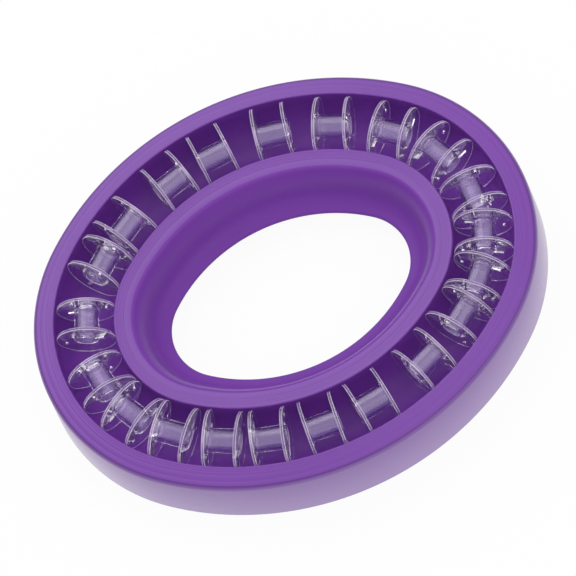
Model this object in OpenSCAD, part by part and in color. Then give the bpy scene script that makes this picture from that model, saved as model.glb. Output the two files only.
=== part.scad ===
// Ring-shaped bobbin box: a soft oval ring with one round-bottomed groove on top,
// and twenty-one two-piece clear bobbins standing in the groove on their flanges.
//
// Millimetres. X runs along the long axis of the oval, +Z is up, and the origin is
// on the standing surface under the middle of the central hole.

/* [Ring outline] */
// Half the length of the groove's centreline, along X
line_a = 70.5; // [66:0.5:76]
// Distance between the centre of an end arc and the centre of a side arc
centre_gap = 37.5; // [30:0.5:45]

/* [Ring section] */
// Height from the base to the lips of the groove
ring_h = 24; // [22:0.5:28]
// From the centreline to the outer wall at the base
base_out = 18.5; // [17:0.25:20]
// From the centreline to the outer wall just under the rim
rim_out = 18; // [16:0.25:20]
// From the centreline to the inner wall just under the rim
rim_in = 18.3; // [16:0.25:20]
// From the centreline to the edge of the central hole
lip_in = 27.3; // [24:0.25:30]
// Depth of the lip's top edge below the groove's lips
lip_drop = 14.9; // [13:0.25:17]
// Height of the lip's edge
lip_t = 2.1; // [1.5:0.1:3]

/* [Groove] */
// Half the width of the groove
groove_r = 10.4; // [10.35:0.05:11]
// Depth of the groove
groove_depth = 14.45; // [12:0.05:16]

/* [Bobbins] */
// Diameter of a bobbin's flanges
flange_d = 20.3; // [20:0.1:20.6]
// Length of a bobbin along its axis
bobbin_l = 11.7; // [11:0.1:11.8]
// Thickness of a flange
flange_t = 1; // [0.8:0.1:1.2]
// Outside diameter of the hub
hub_d = 8.4; // [8.2:0.1:9]
// Thickness of the hub's wall
hub_wall = 0.6; // [0.5:0.1:0.8]
// Outside diameter of the sleeve inside the hub
sleeve_d = 6.2; // [6:0.1:6.4]
// Diameter of the spindle bore through the sleeve
bore_d = 5.6; // [5.2:0.1:5.6]

/* [Hidden] */
// Each row is one bobbin: the direction of the groove's normal where it stands, how
// far its axis leans up along the groove, and the direction of its thread slot
// round its axis. All three are in degrees.
STATIONS = [
    [24, 2, -5],
    [48, 0, 5],
    [63, 0, 90],
    [77.5, 0, 135],
    [92.5, 0, -100],
    [104.5, 0, 75],
    [119.5, -3, -120],
    [130.5, 3, 120],
    [158, -2, -10],
    [186.5, -3, 45],
    [207.8, -6, -10],
    [228.3, -5, 30],
    [240.5, -3, -165],
    [251.5, 0, 150],
    [264, 0, -90],
    [276.5, 0, 100],
    [292, 0, -60],
    [305.5, 0, 125],
    [318.8, -1, 180],
    [338.7, -2, -20],
    [359, 4, 60]
];
function numbered(i) = str("bobbin_", i < 10 ? "0" : "", i);
$fn = 96;

// Four arcs make the oval: two end arcs of end_r centred on the X axis, and two
// side arcs of side_r centred on the Y axis. They meet where the normal is JOIN, a
// unit vector with no further decimals. Half the width comes to 55.1.
JOIN = [0.658944, 0.752192];
join_a = atan2(JOIN.y, JOIN.x);
end_c = centre_gap * JOIN.x;
side_c = centre_gap * JOIN.y;
end_r = line_a - end_c;
side_r = end_r + centre_gap;

// Corners of the ring's section: distance outward from the centreline, height, and
// the radius that the corner is rounded to.
groove_floor = ring_h - groove_depth;
lip_z = ring_h - lip_drop;
SECTION = [
    [base_out, 0, 0.8],
    [rim_out, ring_h - 2.3, 1.8],
    [groove_r, ring_h, 0.5],
    [groove_r, groove_floor, groove_r - 0.1],
    [-groove_r, groove_floor, groove_r - 0.1],
    [-groove_r, ring_h - 0.1, 0.5],
    [-rim_in, ring_h - 1.2, 2.4],
    [-rim_in - 0.8, lip_z + 3.8, 3.5],
    [-lip_in, lip_z, 0.9],
    [-lip_in, lip_z - lip_t, 0.9],
    [-rim_in - 1.3, lip_z + 0.9, 3],
    [-rim_in - 1.7, 0, 0.8]
];

// Gap between the groove and a bobbin's flanges
seat_gap = 0.25;
flange_r = flange_d / 2;
half_l = bobbin_l / 2;
hub_half = half_l - flange_t;
// Broken edge of a flange
edge = 0.15;
// Slot that the thread's end is pulled through, from beside the sleeve to past the hub
slot_gap = 0.1;
slot_end_r = 6.5;
slot_w = 1;
// Eye across from the slot
eye_d = 1.3;
eye_r = 7.2;
eps = 0.01;

// Points of the arc that rounds corner b, between a and c, to radius r.
function unit(v) = v / norm(v);
function rounded_corner(a, b, c, r) =
    let (u = unit(a - b), v = unit(c - b),
         half = acos(u * v) / 2,
         centre = b + unit(u + v) * r / sin(half),
         p = b + u * r / tan(half), q = b + v * r / tan(half),
         a0 = atan2(p.y - centre.y, p.x - centre.x),
         a1 = atan2(q.y - centre.y, q.x - centre.x),
         turn = a1 - a0 > 180 ? a1 - a0 - 360 : a1 - a0 < -180 ? a1 - a0 + 360 : a1 - a0,
         n = max(3, ceil(abs(turn) * (r > 5 ? 1 : 0.6) / 9)))
    [for (i = [0:n]) centre + r * [cos(a0 + turn * i / n), sin(a0 + turn * i / n)]];
function rounded(corners) =
    let (n = len(corners), p = [for (k = corners) [k.x, k.y]])
    [for (i = [0:n - 1]) each rounded_corner(p[(i + n - 1) % n], p[i], p[(i + 1) % n], corners[i].z)];

// Radius of the centreline, and its centre, where the normal points at angle t.
function on_end(t) = abs(cos(t)) * sin(join_a) > abs(sin(t)) * cos(join_a);
function line_r(t) = on_end(t) ? end_r : side_r;
function line_centre(t) = on_end(t) ? [sign(cos(t)) * end_c, 0] : [0, -sign(sin(t)) * side_c];

// The ring's section swept from the join round an arc of the centreline.
module arc_sweep(r, turn) {
    rotate([0, 0, join_a]) rotate_extrude(angle = turn, $fn = 240)
        translate([r, 0]) polygon(rounded(SECTION));
}

// A quarter of the ring. Both arcs run on past the axes and are cut there.
module quarter() {
    intersection() {
        union() {
            translate([end_c, 0, 0]) arc_sweep(end_r, -join_a - 5);
            translate([0, -side_c, 0]) arc_sweep(side_r, 95 - join_a);
        }
        cube([2 * line_a, 2 * line_a, 2 * ring_h]);
    }
}

module half() {
    quarter();
    mirror([0, 1, 0]) quarter();
}

module ring() {
    color([0.5, 0.33, 0.66]) {
        half();
        mirror([1, 0, 0]) half();
    }
}

// Half of a bobbin, its axis on Z and its flange below: a flange with broken edges and
// a round hole, and a tube that reaches up to top. The thread slot is on +X, outward
// from slot_from, and the thread eye is on -X.
module half_bobbin(flange_hole_d, tube_d, tube_hole_d, top, slot_from) {
    difference() {
        rotate_extrude() polygon([
            [flange_hole_d / 2, -half_l], [flange_r - edge, -half_l],
            [flange_r, -half_l + edge], [flange_r, -hub_half - edge],
            [flange_r - edge, -hub_half], [tube_d / 2, -hub_half],
            [tube_d / 2, top], [tube_hole_d / 2, top],
            [tube_hole_d / 2, -hub_half], [flange_hole_d / 2, -hub_half]
        ]);
        translate([slot_from, -slot_w / 2, -half_l - eps])
            cube([slot_end_r - slot_from, slot_w, flange_t + 2 * eps]);
        translate([-eye_r, 0, -half_l - eps])
            cylinder(h = flange_t + 2 * eps, d = eye_d, $fn = 32);
    }
}

// Stands a bobbin part in the groove. Its axis turns from Z to the groove's
// direction, and it moves in from the centreline by the bend of the groove between
// its flanges. A leaning bobbin rests on its lower flange.
module standing(station) {
    t = station[0];
    lean = station[1];
    bend = pow(hub_half + flange_t / 2, 2) / (2 * line_r(t));
    axis_z = groove_floor + seat_gap + flange_r + half_l * sin(abs(lean));
    place = line_centre(t) + (line_r(t) - bend) * [cos(t), sin(t)];
    translate([place.x, place.y, axis_z]) rotate([0, 0, t + 90]) rotate([0, -lean, 0])
        rotate([-station[2], 0, 0]) rotate([0, 90, 0]) rotate([0, 0, -90]) children();
}

// The hub and its flange, with a hole that takes the cap's sleeve. The slot opens
// into that hole.
module core(i) {
    color([0.93, 0.92, 0.97, 0.4]) standing(STATIONS[i])
        half_bobbin(sleeve_d, hub_d, hub_d - 2 * hub_wall, hub_half, bore_d / 2);
}

// The sleeve and its flange, pushed through the core to the core's outer face
module cap(i) {
    color([0.86, 0.84, 0.92, 0.5]) standing(STATIONS[i]) mirror([0, 0, 1]) rotate([0, 0, 180])
        half_bobbin(bore_d, sleeve_d, bore_d, half_l, sleeve_d / 2 + slot_gap);
}

ring();
for (i = [0:len(STATIONS) - 1]) {
    core(i);
    cap(i);
}
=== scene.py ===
import math

import bmesh
import bpy
from mathutils import Matrix, Vector


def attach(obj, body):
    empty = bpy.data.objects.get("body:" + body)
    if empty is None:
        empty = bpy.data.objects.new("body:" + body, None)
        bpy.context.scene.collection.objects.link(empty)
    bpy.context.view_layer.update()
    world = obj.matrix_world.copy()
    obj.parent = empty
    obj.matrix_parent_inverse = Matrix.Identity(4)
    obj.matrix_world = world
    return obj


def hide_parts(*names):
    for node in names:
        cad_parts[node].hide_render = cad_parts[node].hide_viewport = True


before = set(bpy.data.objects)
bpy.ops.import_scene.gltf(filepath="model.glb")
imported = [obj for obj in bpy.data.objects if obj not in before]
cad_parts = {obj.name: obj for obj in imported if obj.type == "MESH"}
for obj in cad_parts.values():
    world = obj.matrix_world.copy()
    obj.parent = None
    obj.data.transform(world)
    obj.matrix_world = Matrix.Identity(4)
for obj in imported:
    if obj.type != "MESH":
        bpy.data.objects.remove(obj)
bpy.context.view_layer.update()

# Sizes are in millimetres and angles in degrees. MM turns a size into metres.
MM = 0.001

# Groove's centreline: four arcs, which meet where the normal is JOIN
LINE_A = 70.5
CENTRE_GAP = 37.5
JOIN = (0.658944, 0.752192)
END_C = CENTRE_GAP * JOIN[0]
SIDE_C = CENTRE_GAP * JOIN[1]
END_R = LINE_A - END_C
SIDE_R = END_R + CENTRE_GAP
JOIN_A = math.degrees(math.atan2(JOIN[1], JOIN[0]))
# Longest step along the centreline from one loop of the ring's mesh to the next
SWEEP_STEP = 1.3

# Ring's section: heights, and distances from the centreline. They go outward, or inward
# for the names that end in IN, and the groove reaches as far either way.
RING_H = 24.0
BASE_OUT = 18.75
RIM_OUT = 18.0
BAND_IN = 17.0
RIM_IN = 19.2
LIP_IN = 27.3
LIP_T = 2.1
GROOVE_R = 10.4
GROOVE_FLOOR = RING_H - 14.45
LIP_Z = RING_H - 14.9
# Corners: distance outward from the centreline, height, radius of the rounding
SECTION = [
    (BASE_OUT, 0, 0.8),
    (RIM_OUT, RING_H - 2.3, 1.8),
    (GROOVE_R, RING_H, 0.5),
    (GROOVE_R, GROOVE_FLOOR, GROOVE_R - 0.1),
    (-GROOVE_R, GROOVE_FLOOR, GROOVE_R - 0.1),
    (-GROOVE_R, RING_H - 0.1, 0.5),
    (-BAND_IN, RING_H - 0.9, 1.6),
    (-RIM_IN, RING_H - 4.5, 15),
    (-RIM_IN - 2.6, LIP_Z + 1.5, 7),
    (-LIP_IN, LIP_Z, 0.9),
    (-LIP_IN, LIP_Z - LIP_T, 0.9),
    (-RIM_IN - 0.6, LIP_Z - 0.5, 3),
    (-RIM_IN - 0.8, 0, 0.8),
]
# Largest turn between two points of a rounding, and the fewest steps that it has
ARC_TURN = 5.0
ARC_STEPS = 4

# A stretch of the section is a band where it is wider than BAND_SPAN above BAND_LOW
BAND_LOW = RING_H - 2.6
BAND_SPAN = 2.0
# Fine moulding lines on the two bands, as distances outward from the centreline
MOULD_LINES = (11.6, 12.3, 13.3, 15.4, -11.7, -12.4, -13.1, -13.9)
LINE_DEPTH = 0.05
LINE_HALF = 0.14
# Points across a line, as shares of half its width, and how far lines stay off an edge
LINE_POINTS = (-1, -0.4, 0, 0.4, 1)
LINE_MARGIN = 0.3

# Materials of the ring, and the distances outward at which they change
TOP, WALL, GROOVE, INNER = range(4)
WALL_FROM = RIM_OUT - 2
GROOVE_TO = GROOVE_R + 0.05
INNER_FROM = -BAND_IN + 0.9

# Bobbins
FLANGE_R = 10.15
HALF_L = 5.85
FLANGE_T = 1.0
HUB_HALF = HALF_L - FLANGE_T
HUB_R = 4.2
HUB_WALL = 0.6
SLEEVE_R = 3.1
BORE_R = 2.8
# Gaps between the sleeve and the core, and between the flanges and the groove
AIR_GAP = 0.03
SEAT_GAP = 0.25
# Roundings of the flange's edge and of the hub's root, and broken edge of the flange's hole
EDGE_R = 0.17
FILLET = 0.2
MOUTH = 0.15
# Broken edges of the tube's end, of the tube's floor and of the hole in that floor
TUBE_EDGE = 0.05
FLOOR_EDGE = 0.1
HOLE_EDGE = 0.03
# Thread slot, which starts beside the sleeve, and thread eye
SLOT_END_R, SLOT_W, SLOT_GAP = 6.5, 1.0, 0.1
EYE_D, EYE_R = 1.3, 7.2
# How far the slot's cutter reaches past each face of the flange
REACH = 0.01
LATHE_STEPS = 128
EYE_STEPS = 24
# Edges of a bobbin that turn by more than this are shaded sharp
SHARP_TURN = 32
# Materials of a bobbin. RIM carries painted light and EDGE a painted highlight
CLEAR, RIM, EDGE, FROSTED, HUB = range(5)
# Streaks of the frosting: how many go round the sleeve, and their length
STREAKS = 100
STREAK_L = 8
# Direction of the groove's normal, lean along the groove, direction of the slot
STATIONS = [
    (24, 2, -5), (48, 0, 5), (63, 0, 90), (77.5, 0, 135), (92.5, 0, -100),
    (104.5, 0, 75), (119.5, -3, -120), (130.5, 3, 120), (158, -2, -10),
    (186.5, -3, 45), (207.8, -6, -10), (228.3, -5, 30), (240.5, -3, -165),
    (251.5, 0, 150), (264, 0, -90), (276.5, 0, 100), (292, 0, -60),
    (305.5, 0, 125), (318.8, -1, 180), (338.7, -2, -20), (359, 4, 60),
]

# Rubber: darkest and lightest tint, range of roughness, and specular level
RUBBER_TINTS = (0.160, 0.032, 0.335), (0.187, 0.040, 0.378)
RUBBER_ROUGH = (0.4, 0.55)
RUBBER_SHINE = 0.3
# The outer wall's tints are lighter than the bands': painted light from the floor
WALL_PAINTED_LIGHT_TINTS = (0.19, 0.042, 0.38), (0.21, 0.05, 0.41)
WALL_ROUGH = (0.30, 0.42)
WALL_SHINE = 0.5
# Tint of the outer wall just under the rim, darker than the rest of the wall: painted shade
WALL_PAINTED_SHADE = (0.105, 0.022, 0.225)
# Weight of the coat: pairs of a height and the weight there
TOP_COAT = ((RING_H - 9, 0), (RING_H - 4, 0.2), (RING_H - 1.5, 0.7))
INNER_COAT = ((RING_H - 9, 0), (RING_H - 4, 0.2), (RING_H - 2.4, 0))
# On the outer wall these weights also mix the painted shade under the rim into the wall's tints, so the
# wall is lighter towards the bottom: painted light from the floor
WALL_COAT_AND_PAINTED_LIGHT = ((0, 1.0), (RING_H - 2.6, 0.5), (RING_H - 2.0, 0))

RUBBER_IOR = 1.5
PLASTIC_IOR = 1.42
SLEEVE_IOR = 1.3

# Camera: its height over the horizon, its roll, its turn round Z and its distance, and
# where it aims, from the middle of the groove's lips
CAMERA_RISE = 63.75
CAMERA_ROLL = -24.62
CAMERA_TURN = -0.52
CAMERA_FAR = 1685.0
AIM_RIGHT, AIM_UP = 1.895, -3.673
LENS = 312.5
SENSOR_W = 36
# How far the camera sees, in metres
SIGHT = 20

# Stage. What is seen directly has its own brightness, so that the floor and the sky
# look white and still light the object softly. The floor's size is in metres.
FLOOR_SIZE = 6
FLOOR_GREY = 0.9
FLOOR_SEEN = 0.94
SKY_SEEN = 1.0
SKY_LIGHT = 0.77
# Softboxes, which aim at the origin: place, then width and height, both in metres, and
# power in watts
SOFTBOXES = {
    "key_softbox": ((-0.22, 0.81, 1.0), (1.1, 1.1), 5.3),
    "fill_softbox": ((0.59, -0.59, 1.0), (1.1, 1.1), 2.5),
    "front_softbox": ((0, -1.25, 0.34), (1.1, 0.5), 0.6),
}
# Light passes many surfaces inside the clear flanges before it leaves at their edges
BOUNCES = 32
GLOSSY_BOUNCES = 24


# ---------------------------------------------------------------- materials

def new_material(name):
    """A material, its Principled node, and functions that add and link nodes."""
    mat = bpy.data.materials.new(name)
    mat.use_nodes = True
    tree = mat.node_tree

    def add(kind, **values):
        node = tree.nodes.new("ShaderNode" + kind)
        for key, value in values.items():
            if hasattr(node, key):
                setattr(node, key, value)
            else:
                node.inputs[key].default_value = value
        return node

    return mat, tree.nodes["Principled BSDF"], add, tree.links.new


def set_inputs(node, **values):
    """Sets sockets of a node. A name has _ where the socket's name has a space."""
    for key, value in values.items():
        node.inputs[key.replace("_", " ")].default_value = value


def varied(add, link, amount, lowest, highest):
    """A value that goes from lowest to highest as amount goes from 0 to 1."""
    spread = add("MapRange")
    set_inputs(spread, To_Min=lowest, To_Max=highest)
    link(amount, spread.inputs["Value"])
    return spread.outputs["Result"]


def rubber_material(name, tints, rough, shine):
    """Moulded rubber: a cloudy tint, a fine grain, and uneven gloss."""
    mat, skin, add, link = new_material(name)
    where = add("TexCoord").outputs["Object"]

    cloud = add("TexNoise", Scale=28.0, Detail=3.0)
    fine = add("TexNoise", Scale=900.0, Detail=4.0, Roughness=0.6)
    grain = add("TexNoise", Scale=2600.0, Detail=2.0)
    for noise in (cloud, fine, grain):
        link(where, noise.inputs["Vector"])

    tint = add("Mix", data_type="RGBA")
    tint.inputs["A"].default_value = (*tints[0], 1)
    tint.inputs["B"].default_value = (*tints[1], 1)
    link(cloud.outputs["Fac"], tint.inputs["Factor"])
    link(tint.outputs["Result"], skin.inputs["Base Color"])
    link(varied(add, link, fine.outputs["Fac"], *rough), skin.inputs["Roughness"])

    bump = add("Bump", Strength=0.12, Distance=0.00004)
    link(grain.outputs["Fac"], bump.inputs["Height"])
    link(bump.outputs["Normal"], skin.inputs["Normal"])
    set_inputs(skin, IOR=RUBBER_IOR, Specular_IOR_Level=shine)
    return mat, skin, add, link


def ramp_by_height(add, link, weights):
    """A grey ramp up the ring. weights are pairs of a height and the value there."""
    place = add("SeparateXYZ")
    link(add("TexCoord").outputs["Object"], place.inputs["Vector"])
    height = add("MapRange")
    set_inputs(height, From_Max=RING_H * MM)
    link(place.outputs["Z"], height.inputs["Value"])
    ramp = add("ValToRGB")
    stops = ramp.color_ramp.elements
    while len(stops) < len(weights):
        stops.new(0.5)
    for stop, (level, weight) in zip(stops, weights):
        stop.position = level / RING_H
        stop.color = (weight, weight, weight, 1)
    link(height.outputs["Result"], ramp.inputs["Fac"])
    return ramp.outputs["Color"]


def coat(skin, add, link, weights, rough, ior):
    """Coats a material by height, and returns the coat's weight."""
    weight = ramp_by_height(add, link, weights)
    link(weight, skin.inputs["Coat Weight"])
    set_inputs(skin, Coat_Roughness=rough, Coat_IOR=ior)
    return weight


def wall_material():
    """The outer wall's rubber, which is the glossiest, with painted shade under the rim and painted
    light that makes it lighter towards the bottom.
    """
    wall, skin, add, link = rubber_material("purple_rubber_wall", WALL_PAINTED_LIGHT_TINTS, WALL_ROUGH, WALL_SHINE)
    weight = coat(skin, add, link, WALL_COAT_AND_PAINTED_LIGHT, rough=0.22, ior=2.1)
    tint = skin.inputs["Base Color"].links[0].from_socket
    # Painted shade under the rim, fading into the wall's tints towards the base, which carry painted
    # light
    shade = add("Mix", data_type="RGBA")
    shade.inputs["A"].default_value = (*WALL_PAINTED_SHADE, 1)
    link(weight, shade.inputs["Factor"])
    link(tint, shade.inputs["B"])
    link(shade.outputs["Result"], skin.inputs["Base Color"])
    return wall


def coated_rubber(name, weights):
    """The rubber of the bands or the inner wall, with a soft coat by height."""
    mat, *nodes = rubber_material(name, RUBBER_TINTS, RUBBER_ROUGH, RUBBER_SHINE)
    coat(*nodes, weights, rough=0.35, ior=1.5)
    return mat


def ring_materials():
    """The rubber of the bands, of the outer wall, of the groove and of the inner wall."""
    top = coated_rubber("purple_rubber", TOP_COAT)
    wall = wall_material()
    groove = rubber_material("purple_rubber_groove", RUBBER_TINTS, RUBBER_ROUGH, RUBBER_SHINE)[0]
    inner = coated_rubber("purple_rubber_inner", INNER_COAT)
    return top, wall, groove, inner


def lets_lamps_through(mat, glass, add, link, share):
    """Lamps reach what is behind clear plastic: for their rays it is a pale film."""
    film = add("BsdfTransparent")
    film.inputs["Color"].default_value = (share, share, share, 1)
    path = add("LightPath")
    pick = add("MixShader")
    link(path.outputs["Is Shadow Ray"], pick.inputs["Fac"])
    link(glass.outputs["BSDF"], pick.inputs[1])
    link(film.outputs["BSDF"], pick.inputs[2])
    link(pick.outputs["Shader"], mat.node_tree.nodes["Material Output"].inputs["Surface"])


def plastic_material(
    name, tint, clearness, rough, grain_scale, share, haze=0, ior=PLASTIC_IOR, streaks=False,
):
    """Moulded clear plastic. clearness is how much it transmits, rough the range of its
    roughness, share what lamps send through it, haze the strength of its surface grain.
    With streaks, the grain runs along the bobbin."""
    mat, glass, add, link = new_material(name)
    glass.inputs["Base Color"].default_value = (*tint, 1)
    set_inputs(glass, IOR=ior, Transmission_Weight=clearness)

    grain = add("TexNoise", Scale=grain_scale, Detail=3.0)
    link(add("TexCoord").outputs["UV" if streaks else "Object"], grain.inputs["Vector"])
    link(varied(add, link, grain.outputs["Fac"], *rough), glass.inputs["Roughness"])
    if haze:
        bump = add("Bump", Strength=haze, Distance=0.00005)
        link(grain.outputs["Fac"], bump.inputs["Height"])
        link(bump.outputs["Normal"], glass.inputs["Normal"])
    lets_lamps_through(mat, glass, add, link, share)
    return mat


def bobbin_materials():
    """The clear flanges, their rims with painted light, the edges with a painted highlight, the frosted
    sleeve, the hub.
    """
    clear = plastic_material(
        "clear_plastic", tint=(0.975, 0.96, 1.0), clearness=0.99, rough=(0.0, 0.015),
        grain_scale=350, share=0.95,
    )
    # Lavender, slightly milky rims: painted light, standing for the purple light that a clear rim
    # carries from the groove around it
    rim = plastic_material(
        "painted_light_rim", tint=(0.86, 0.69, 1.0), clearness=0.96, rough=(0.0, 0.03),
        grain_scale=900, share=0.92,
    )
    # Whitish edges and mouths: painted highlight, standing for the light that the clear plastic carries
    # to its edges
    edge = plastic_material(
        "painted_highlight_edge", tint=(0.92, 0.82, 1.0), clearness=0.3, rough=(0.15, 0.3),
        grain_scale=1800, share=0.85, haze=0.1,
    )
    frosted = plastic_material(
        "frosted_plastic", tint=(0.86, 0.77, 0.96), clearness=0.9, rough=(0.03, 0.2),
        grain_scale=1, share=0.9, haze=0.05, ior=SLEEVE_IOR, streaks=True,
    )
    hub = plastic_material(
        "clear_hub", tint=(0.93, 0.88, 0.99), clearness=1.0, rough=(0.0, 0.03),
        grain_scale=350, share=0.95,
    )
    set_inputs(hub.node_tree.nodes["Principled BSDF"], Sheen_Weight=0.1, Sheen_Roughness=0.3)
    return clear, rim, edge, frosted, hub


# ------------------------------------------------------------------ the ring

def rounded_corner(a, b, c, radius):
    """Points of the arc that rounds corner b, between a and c."""
    a, b, c = Vector(a), Vector(b), Vector(c)
    u, v = (a - b).normalized(), (c - b).normalized()
    half = math.acos(u.dot(v)) / 2
    centre = b + (u + v).normalized() * radius / math.sin(half)
    p, q = b + u * radius / math.tan(half), b + v * radius / math.tan(half)
    start = math.atan2(p.y - centre.y, p.x - centre.x)
    end = math.atan2(q.y - centre.y, q.x - centre.x)
    turn = math.remainder(end - start, 2 * math.pi)
    count = max(ARC_STEPS, math.ceil(math.degrees(abs(turn)) / ARC_TURN))
    angles = [start + turn * i / count for i in range(count + 1)]
    return [centre + radius * Vector((math.cos(angle), math.sin(angle))) for angle in angles]


def ring_section():
    """The section's outline, with the moulding lines scored into the bands."""
    outline = []
    n = len(SECTION)
    for i in range(n):
        a, b, c = (SECTION[(i + k) % n] for k in (-1, 0, 1))
        outline += rounded_corner(a[:2], b[:2], c[:2], b[2])

    scored = []
    for p, q in zip(outline, outline[1:] + outline[:1]):
        scored.append(p)
        on_band = min(p.y, q.y) > BAND_LOW and abs(q.x - p.x) > BAND_SPAN
        if not on_band:
            continue
        low, high = min(p.x, q.x) + LINE_MARGIN, max(p.x, q.x) - LINE_MARGIN
        lines = [x for x in MOULD_LINES if low < x < high]
        for x in sorted(lines, reverse=q.x < p.x):
            way = 1 if q.x > p.x else -1
            for share in LINE_POINTS:
                x_at = x + way * share * LINE_HALF
                level = p.y + (q.y - p.y) * (x_at - p.x) / (q.x - p.x)
                scored.append(Vector((x_at, level - LINE_DEPTH * (1 - abs(share)))))
    return scored


def centreline():
    """Stations round the oval: centre of the arc, its radius, and the normal's angle."""
    arcs = [
        ((END_C, 0), END_R, -JOIN_A, JOIN_A),
        ((0, -SIDE_C), SIDE_R, JOIN_A, 180 - JOIN_A),
        ((-END_C, 0), END_R, 180 - JOIN_A, 180 + JOIN_A),
        ((0, SIDE_C), SIDE_R, 180 + JOIN_A, 360 - JOIN_A),
    ]
    stations = []
    for centre, radius, start, end in arcs:
        count = math.ceil((end - start) * math.radians(1) * radius / SWEEP_STEP)
        stations += [(centre, radius, start + (end - start) * i / count) for i in range(count)]
    return stations


def rubber_of(a, b):
    """Which of the ring's materials the faces between the section's points a and b have."""
    if min(a.x, b.x) > WALL_FROM:
        return WALL
    if max(abs(a.x), abs(b.x)) < GROOVE_TO:
        return GROOVE
    return INNER if max(a.x, b.x) < INNER_FROM else TOP


def build_ring(materials):
    section = ring_section()
    mesh = bpy.data.meshes.new("rubber_ring")
    bm = bmesh.new()
    loops = []
    for (cx, cy), radius, angle in centreline():
        c, s = math.cos(math.radians(angle)), math.sin(math.radians(angle))
        loops.append([
            bm.verts.new(Vector((cx + (radius + p.x) * c, cy + (radius + p.x) * s, p.y)) * MM)
            for p in section
        ])
    n = len(section)
    for here, there in zip(loops, loops[1:] + loops[:1]):
        for i in range(n):
            j = (i + 1) % n
            face = bm.faces.new((here[i], there[i], there[j], here[j]))
            face.smooth = True
            face.material_index = rubber_of(section[i], section[j])
    bmesh.ops.recalc_face_normals(bm, faces=bm.faces)
    bm.to_mesh(mesh)
    bm.free()
    ring = bpy.data.objects.new("rubber_ring", mesh)
    bpy.context.scene.collection.objects.link(ring)
    for material in materials:
        mesh.materials.append(material)
    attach(ring, "ring")
    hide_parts("ring")


# --------------------------------------------------------------- the bobbins

def lathe(profile):
    """A closed solid: the outline, as (radius, height) points, turned round Z."""
    bm = bmesh.new()
    loops = []
    for k in range(LATHE_STEPS):
        a = 2 * math.pi * k / LATHE_STEPS
        loops.append([bm.verts.new((r * math.cos(a), r * math.sin(a), z)) for r, z in profile])
    n = len(profile)
    for here, there in zip(loops, loops[1:] + loops[:1]):
        for i in range(n):
            j = (i + 1) % n
            bm.faces.new((here[i], there[i], there[j], here[j]))
    bmesh.ops.recalc_face_normals(bm, faces=bm.faces)
    return bm


def to_object(bm, name):
    mesh = bpy.data.meshes.new(name)
    bm.to_mesh(mesh)
    bm.free()
    thing = bpy.data.objects.new(name, mesh)
    bpy.context.scene.collection.objects.link(thing)
    return thing


def cutters(slot_from):
    """The thread slot on +X and the thread eye on -X, through the lower flange."""
    bm = bmesh.new()
    mid_z = -HALF_L + FLANGE_T / 2
    slot_l = SLOT_END_R - slot_from
    bmesh.ops.create_cube(
        bm, size=1,
        matrix=Matrix.Translation((slot_from + slot_l / 2, 0, mid_z))
        @ Matrix.Diagonal((slot_l, SLOT_W, FLANGE_T + 2 * REACH, 1)),
    )
    bmesh.ops.create_cone(
        bm, cap_ends=True, segments=EYE_STEPS, radius1=EYE_D / 2, radius2=EYE_D / 2, depth=2 * FLANGE_T,
        matrix=Matrix.Translation((-EYE_R, 0, mid_z)),
    )
    return to_object(bm, "thread_cutters")


def half_profile(flange_hole_r, tube_r, tube_hole_r, top):
    """Outline of half a bobbin, from the flange's hole outward and back up the tube, which
    reaches up to top."""
    # Points of a quarter turn, as shares of its radius
    turn = [(1 - math.cos(a), 1 - math.sin(a)) for a in (0, math.pi / 6, math.pi / 3, math.pi / 2)]
    low = [(FLANGE_R - EDGE_R * x, -HALF_L + EDGE_R * y) for x, y in reversed(turn)]
    high = [(FLANGE_R - EDGE_R * x, -HUB_HALF - EDGE_R * y) for x, y in turn]
    profile = [(flange_hole_r, -HALF_L + MOUTH), (flange_hole_r + MOUTH, -HALF_L)] + low + high
    profile += [(tube_r + FILLET * x, -HUB_HALF + FILLET * y) for x, y in reversed(turn)]
    profile += [(tube_r, top - TUBE_EDGE), (tube_r - TUBE_EDGE, top)]
    profile += [(tube_hole_r + TUBE_EDGE, top), (tube_hole_r, top - TUBE_EDGE)]
    if tube_hole_r > flange_hole_r:
        profile += [(tube_hole_r, -HUB_HALF + FLOOR_EDGE), (tube_hole_r - FLOOR_EDGE, -HUB_HALF)]
        profile += [(flange_hole_r + HOLE_EDGE, -HUB_HALF), (flange_hole_r, -HUB_HALF - HOLE_EDGE)]
    return profile


def half_bobbin(name, profile, slot_from):
    """A mesh of half a bobbin, in millimetres, with its thread slot and eye."""
    solid = to_object(lathe(profile), name)
    tool = cutters(slot_from)
    cut = solid.modifiers.new("thread", "BOOLEAN")
    cut.operation = "DIFFERENCE"
    cut.solver = "EXACT"
    cut.object = tool
    graph = bpy.context.evaluated_depsgraph_get()
    mesh = bpy.data.meshes.new_from_object(solid.evaluated_get(graph))
    bpy.data.objects.remove(solid)
    bpy.data.objects.remove(tool)
    mesh.name = name
    return mesh


def line_at(angle):
    """Centre and radius of the arc of the centreline whose normal is at angle."""
    c, s = math.cos(math.radians(angle)), math.sin(math.radians(angle))
    if abs(c) * JOIN[1] > abs(s) * JOIN[0]:
        return Vector((math.copysign(END_C, c), 0)), END_R
    return Vector((0, -math.copysign(SIDE_C, s))), SIDE_R


def turned(axis, angle):
    return Matrix.Rotation(math.radians(angle), 4, axis)


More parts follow.
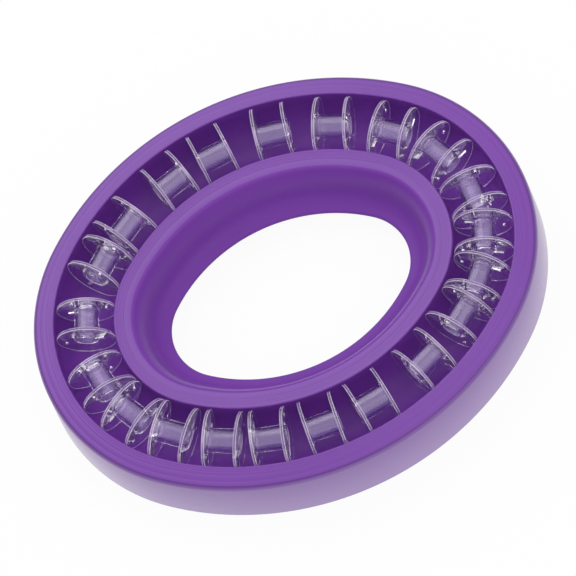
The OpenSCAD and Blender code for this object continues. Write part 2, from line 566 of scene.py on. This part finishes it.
def standing(station):
    """Where a bobbin built round Z stands: turned along the groove, on its floor."""
    angle, lean, slot_way = station
    centre, radius = line_at(angle)
    bend = (HUB_HALF + FLANGE_T / 2) ** 2 / (2 * radius)
    normal = Vector((math.cos(math.radians(angle)), math.sin(math.radians(angle))))
    place = centre + (radius - bend) * normal
    height = GROOVE_FLOOR + SEAT_GAP + FLANGE_R + HALF_L * math.sin(math.radians(abs(lean)))
    return (
        Matrix.Translation((place.x, place.y, height))
        @ turned("Z", angle + 90) @ turned("Y", -lean)
        @ turned("X", -slot_way) @ turned("Y", 90) @ turned("Z", -90)
    )


def plastic_of(middle, is_cap):
    """Which of the bobbin's materials a face of half a bobbin has, by its middle. The
    limits lie between the middles of the faces that they part."""
    r, z = math.hypot(middle.x, middle.y), middle.z
    sleeve_out, rim_in, hub_low = SLEEVE_R + 0.02, FLANGE_R - 0.01, -HUB_HALF + 0.05
    if is_cap and r < sleeve_out and abs(z) < HUB_HALF:
        return FROSTED
    if r > rim_in:
        return RIM
    at_mouth = r < (BORE_R if is_cap else SLEEVE_R) + MOUTH and z < -HALF_L + MOUTH
    if r > FLANGE_R - EDGE_R or at_mouth:
        return EDGE
    return HUB if z > hub_low else CLEAR


def wrap(mesh, template):
    """A UV map that runs along the bobbin, in streaks' widths and lengths."""
    layer = mesh.uv_layers.new(name="wrap")
    for polygon in template.polygons:
        first = None
        for loop in polygon.loop_indices:
            place = template.vertices[template.loops[loop].vertex_index].co
            turn = math.atan2(place.y, place.x) / (2 * math.pi)
            if first is None:
                first = turn
            turn -= round(turn - first)
            layer.data[loop].uv = (turn * STREAKS, place.z / STREAK_L)


def build_bobbins(materials):
    core_profile = half_profile(SLEEVE_R, HUB_R, HUB_R - HUB_WALL, HUB_HALF)
    cap_profile = half_profile(BORE_R, SLEEVE_R - AIR_GAP, BORE_R, HALF_L)
    flip = Matrix.Diagonal((1, 1, -1, 1)) @ turned("Z", 180)
    halves = (
        ("core", half_bobbin("core", core_profile, BORE_R), Matrix.Identity(4)),
        ("cap", half_bobbin("cap", cap_profile, SLEEVE_R + SLOT_GAP), flip),
    )
    for number, station in enumerate(STATIONS, 1):
        body = f"bobbin_{number:02d}"
        for part, template, inner in halves:
            mesh = template.copy()
            mesh.name = f"{body}_{part}_clear"
            mesh.transform(Matrix.Scale(MM, 4) @ standing(station) @ inner)
            if part == "cap":
                mesh.flip_normals()
            wrap(mesh, template)
            mesh.materials.clear()
            for material in materials:
                mesh.materials.append(material)
            for polygon, shape in zip(mesh.polygons, template.polygons):
                polygon.material_index = plastic_of(shape.center, part == "cap")
                polygon.use_smooth = True
            mesh.set_sharp_from_angle(angle=math.radians(SHARP_TURN))
            piece = bpy.data.objects.new(mesh.name, mesh)
            bpy.context.scene.collection.objects.link(piece)
            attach(piece, body)
            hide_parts(f"{body}_{part}")


# -------------------------------------------------- camera, floor and lights

def build_camera():
    rise, roll = math.radians(CAMERA_RISE), math.radians(CAMERA_ROLL)
    level = Vector((1, 0, 0))
    upward = Vector((0, math.sin(rise), math.cos(rise)))
    ahead = Vector((0, math.cos(rise), -math.sin(rise)))
    right = math.cos(roll) * level + math.sin(roll) * upward
    up = -math.sin(roll) * level + math.cos(roll) * upward
    spin = turned("Z", CAMERA_TURN)
    place = Vector((0, 0, RING_H)) + spin @ (AIM_RIGHT * right + AIM_UP * up - CAMERA_FAR * ahead)
    axes = Matrix((right, up, -ahead)).transposed().to_4x4()
    data = bpy.data.cameras.new("camera")
    data.sensor_width = SENSOR_W
    data.lens = LENS
    data.clip_end = SIGHT
    camera = bpy.data.objects.new("camera", data)
    bpy.context.scene.collection.objects.link(camera)
    camera.matrix_world = Matrix.Translation(place * MM) @ spin @ axes
    bpy.context.scene.camera = camera


def seen_directly(tree, keep):
    """A factor: keep for the rays by which the camera, gloss or glass sees a surface."""
    path = tree.nodes.new("ShaderNodeLightPath")
    total = path.outputs["Is Camera Ray"]
    for name in ("Is Glossy Ray", "Is Transmission Ray"):
        either = tree.nodes.new("ShaderNodeMath")
        either.operation = "MAXIMUM"
        tree.links.new(total, either.inputs[0])
        tree.links.new(path.outputs[name], either.inputs[1])
        total = either.outputs[0]
    scaled = tree.nodes.new("ShaderNodeMath")
    scaled.operation = "MULTIPLY"
    scaled.inputs[1].default_value = keep
    tree.links.new(total, scaled.inputs[0])
    return scaled.outputs[0]


def build_floor():
    bpy.ops.mesh.primitive_plane_add(size=FLOOR_SIZE)
    floor = bpy.context.object
    floor.name = "floor"
    mat = bpy.data.materials.new("white_floor")
    mat.use_nodes = True
    tree = mat.node_tree
    paper = tree.nodes["Principled BSDF"]
    paper.inputs["Base Color"].default_value = (FLOOR_GREY, FLOOR_GREY, FLOOR_GREY, 1)
    set_inputs(paper, Roughness=1.0, Specular_IOR_Level=0.0)
    glow = tree.nodes.new("ShaderNodeEmission")
    mix = tree.nodes.new("ShaderNodeMixShader")
    tree.links.new(seen_directly(tree, FLOOR_SEEN), mix.inputs["Fac"])
    tree.links.new(paper.outputs["BSDF"], mix.inputs[1])
    tree.links.new(glow.outputs["Emission"], mix.inputs[2])
    tree.links.new(mix.outputs["Shader"], tree.nodes["Material Output"].inputs["Surface"])
    floor.data.materials.append(mat)


def build_world():
    world = bpy.data.worlds.new("studio")
    world.use_nodes = True
    bpy.context.scene.world = world
    tree = world.node_tree
    sky = tree.nodes["Background"]
    set_inputs(sky, Color=(1, 1, 1, 1), Strength=SKY_LIGHT)
    seen = tree.nodes.new("ShaderNodeBackground")
    mix = tree.nodes.new("ShaderNodeMixShader")
    tree.links.new(seen_directly(tree, SKY_SEEN), mix.inputs["Fac"])
    tree.links.new(sky.outputs["Background"], mix.inputs[1])
    tree.links.new(seen.outputs["Background"], mix.inputs[2])
    tree.links.new(mix.outputs["Shader"], tree.nodes["World Output"].inputs["Surface"])


def softbox(name, place, size, power):
    data = bpy.data.lights.new(name, "AREA")
    data.shape = "RECTANGLE"
    data.size, data.size_y = size
    data.energy = power
    lamp = bpy.data.objects.new(name, data)
    bpy.context.scene.collection.objects.link(lamp)
    place = Vector(place)
    lamp.matrix_world = Matrix.Translation(place) @ place.to_track_quat("Z", "Y").to_matrix().to_4x4()


build_ring(ring_materials())
build_bobbins(bobbin_materials())
build_camera()
build_floor()
build_world()
for lamp_name, setting in SOFTBOXES.items():
    softbox(lamp_name, *setting)

bpy.context.scene.view_settings.view_transform = "Standard"
cycles = bpy.context.scene.cycles
cycles.max_bounces = BOUNCES
cycles.transmission_bounces = BOUNCES
cycles.transparent_max_bounces = BOUNCES
cycles.glossy_bounces = GLOSSY_BOUNCES
